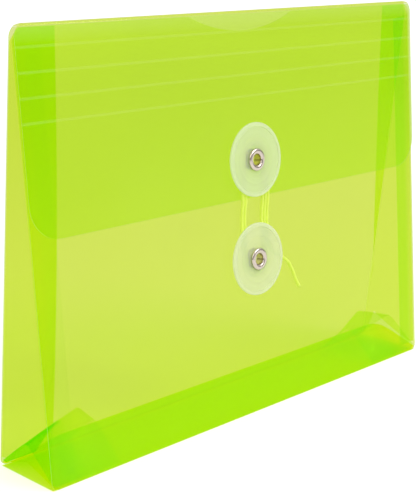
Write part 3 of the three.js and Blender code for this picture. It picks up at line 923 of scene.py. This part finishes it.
def make_eyelet(name, body, across, drop, seat, film_inner):
    """A hollow rivet with a rolled flange outside and a clenched one inside."""
    flange = seat + BUTTON_LIFT + BUTTON_THICKNESS + CONTACT_GAP
    clench = film_inner - CONTACT_GAP
    middle = (BORE_RADIUS + FLANGE_RADIUS) / 2
    roll = (FLANGE_RADIUS - BORE_RADIUS) / 2
    profile = [(BORE_RADIUS, clench - 0.2), (BORE_RADIUS + 0.2, clench - 0.3), (3.4, clench - 0.3)]
    profile += [(CLENCH_RADIUS, clench - 0.15), (CLENCH_RADIUS, clench)]
    profile += [(BARREL_RADIUS, clench), (BARREL_RADIUS, flange)]
    profile += [(FLANGE_RADIUS - 0.15, flange), (FLANGE_RADIUS, flange + 0.12)]
    profile += arc(middle, flange + 0.22, roll, 0, 180, 16, stretch=0.5)
    piece = turned(f"{name}_rivet", profile, 72, across, drop, 0.0, sharp=50)
    set_material(piece, METAL)
    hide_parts(f"{name}_eyelet")
    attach(piece, body)


make_fold()
for side_name, side_sign, tucked in (("left", -1, TUCK_LEFT), ("right", 1, TUCK_RIGHT)):
    make_side_gusset(side_name, side_sign)
    make_ear(side_name, side_sign, tucked)
make_bottom_gusset()
make_button("upper", "upper_button", UPPER_MILKY, UPPER_ACROSS, UPPER_DROP, FLAP_OUTER_HEIGHT)
make_button("lower", "lower_button", LOWER_MILKY, 0.0, LOWER_DROP, 0.0)
make_eyelet("upper", "flap", UPPER_ACROSS, UPPER_DROP, FLAP_OUTER_HEIGHT, FLAP_GAP)
make_eyelet("lower", "front", 0.0, LOWER_DROP, 0.0, -FILM)


# Floor, world and lamps, in metres
FLOOR_HALF = 6.0
FLOOR_COLOUR = (0.6, 0.6, 0.6, 1)
# The painted lime shadow on the floor under the envelope: its colour and extent.
FILM_SHADOW_COLOUR = (0.58, 0.68, 0.05, 1)
FILM_SHADOW_HALF_LENGTH = 0.0952
FILM_SHADOW_HALF_DEPTH = 0.0134
FILM_SHADOW_EDGE = 0.0006
BARE_LEVEL = 0.46
BARE_FAR_LEVEL = 0.2
FILM_LEVEL = 0.1
FILM_FAR_LEVEL = 0.14
WORLD_LEVEL = 0.85
WORLD_BEHIND_FILM = 0.785


def seen_ray(n):
    """1 for rays that come from the camera, from a reflection or through clear plastic."""
    path = n.add("ShaderNodeLightPath")
    seen = maths(n, "ADD", path.outputs["Is Camera Ray"], path.outputs["Is Glossy Ray"])
    return maths(n, "ADD", seen, path.outputs["Is Transmission Ray"], clamp=True)


def behind_film(n):
    """1 for rays that have passed through a film on their way, 0 for those that have not."""
    depth = n.add("ShaderNodeLightPath").outputs["Transparent Depth"]
    return maths(n, "GREATER_THAN", depth, 0.5)


def painted_film_shadow(n):
    """1 on the envelope's footprint where it is seen through film or lies at the two ends, else 0.

    Here the floor carries a painted lime shadow, standing in for the light that has passed through the
    film.
    """
    aside = maths(n, "ABSOLUTE", rest_axis(n, "X"))
    before = maths(n, "ABSOLUTE", rest_axis(n, "Y"))
    along = fade(n, aside, FILM_SHADOW_HALF_LENGTH - FILM_SHADOW_EDGE, FILM_SHADOW_HALF_LENGTH)
    across = fade(n, before, FILM_SHADOW_HALF_DEPTH - FILM_SHADOW_EDGE, FILM_SHADOW_HALF_DEPTH)
    seen = maths(n, "MAXIMUM", behind_film(n), ramp(n, aside, 0.079, 0.084))
    return maths(n, "MULTIPLY", maths(n, "MULTIPLY", along, across), seen)


def far_away(n):
    """0 on the floor round the envelope, rising to 1 where the lamps reach less."""
    distance = n.add("ShaderNodeVectorMath", {0: rest_place(n)}, operation="LENGTH").outputs["Value"]
    return ramp(n, distance, 0.35, 1.6)


def mix_numbers(n, factor, first, second):
    numbers = {"Factor": factor, "A": first, "B": second}
    return n.add("ShaderNodeMix", numbers, data_type="FLOAT").outputs[0]


def make_floor():
    """A pale floor with a painted lime shadow on the envelope's footprint. Seen bare it burns out to white,
    and seen through film it keeps a little less.
    """
    corners = ((-1, -1), (1, -1), (1, 1), (-1, 1))
    floor = new_object("floor", [(x * FLOOR_HALF, y * FLOOR_HALF, 0) for x, y in corners], [(0, 1, 2, 3)])
    n = Nodes("pale_floor")
    # Painted shadow: on the envelope's footprint the floor turns lime and loses its glow.
    shadow_share = painted_film_shadow(n)
    shade = mix_colours(n, shadow_share, FLOOR_COLOUR, FILM_SHADOW_COLOUR)
    matte = n.add("ShaderNodeBsdfDiffuse", {"Color": shade}).outputs[0]
    far = far_away(n)
    bare_level = maths(n, "ADD", maths(n, "MULTIPLY", far, BARE_FAR_LEVEL), BARE_LEVEL)
    film_level = maths(n, "ADD", maths(n, "MULTIPLY", far, FILM_FAR_LEVEL), FILM_LEVEL)
    level = mix_numbers(n, behind_film(n), bare_level, film_level)
    unshadowed = maths(n, "SUBTRACT", 1.0, shadow_share)
    strength = maths(n, "MULTIPLY", maths(n, "MULTIPLY", seen_ray(n), level), unshadowed)
    glow = n.add("ShaderNodeEmission", {"Color": (1, 1, 1, 1), "Strength": strength}).outputs[0]
    set_material(floor, n.finish(n.add("ShaderNodeAddShader", {0: matte, 1: glow}).outputs[0]))


class WorldNodes(Nodes):
    """The same helper for the world's tree."""

    def __init__(self, name):
        world = bpy.data.worlds.new(name)
        world.use_nodes = True
        bpy.context.scene.world = world
        self.material = world
        self.tree = world.node_tree
        self.tree.nodes.clear()
        self.output = self.tree.nodes.new("ShaderNodeOutputWorld")


def make_world():
    """A white studio, darker near the horizon in reflections, as a room is between its soft boxes."""
    n = WorldNodes("studio")
    glossy = n.add("ShaderNodeLightPath").outputs["Is Glossy Ray"]
    generated = n.add("ShaderNodeTexCoord").outputs["Generated"]
    up = n.add("ShaderNodeSeparateXYZ", {0: generated}).outputs["Z"]
    room = ramp(n, up, 0.15, 0.6, 0.3, 1.0)
    through = ramp(n, behind_film(n), 0.0, 1.0, 1.0, WORLD_BEHIND_FILM)
    level = mix_numbers(n, seen_ray(n), WORLD_LEVEL, through)
    level = mix_numbers(n, glossy, level, room)
    n.finish(n.add("ShaderNodeBackground", {"Color": (1, 1, 1, 1), "Strength": level}).outputs[0])


LAMP_TARGET = (0, 0, 0.07)


def area_lamp(name, place, size, power):
    data = bpy.data.lights.new(name, "AREA")
    data.size = size
    data.energy = power
    lamp = bpy.data.objects.new(name, data)
    bpy.context.scene.collection.objects.link(lamp)
    lamp.location = place
    direction = Vector(LAMP_TARGET) - Vector(place)
    lamp.rotation_euler = direction.to_track_quat("-Z", "Y").to_euler()


make_floor()
make_world()
area_lamp("key", (0.5, -0.9, 0.9), 0.7, 8.0)
area_lamp("fill", (-0.9, -0.5, 0.9), 0.8, 3.5)

scene = bpy.context.scene
scene.view_settings.view_transform = "Standard"
scene.cycles.transparent_max_bounces = 48
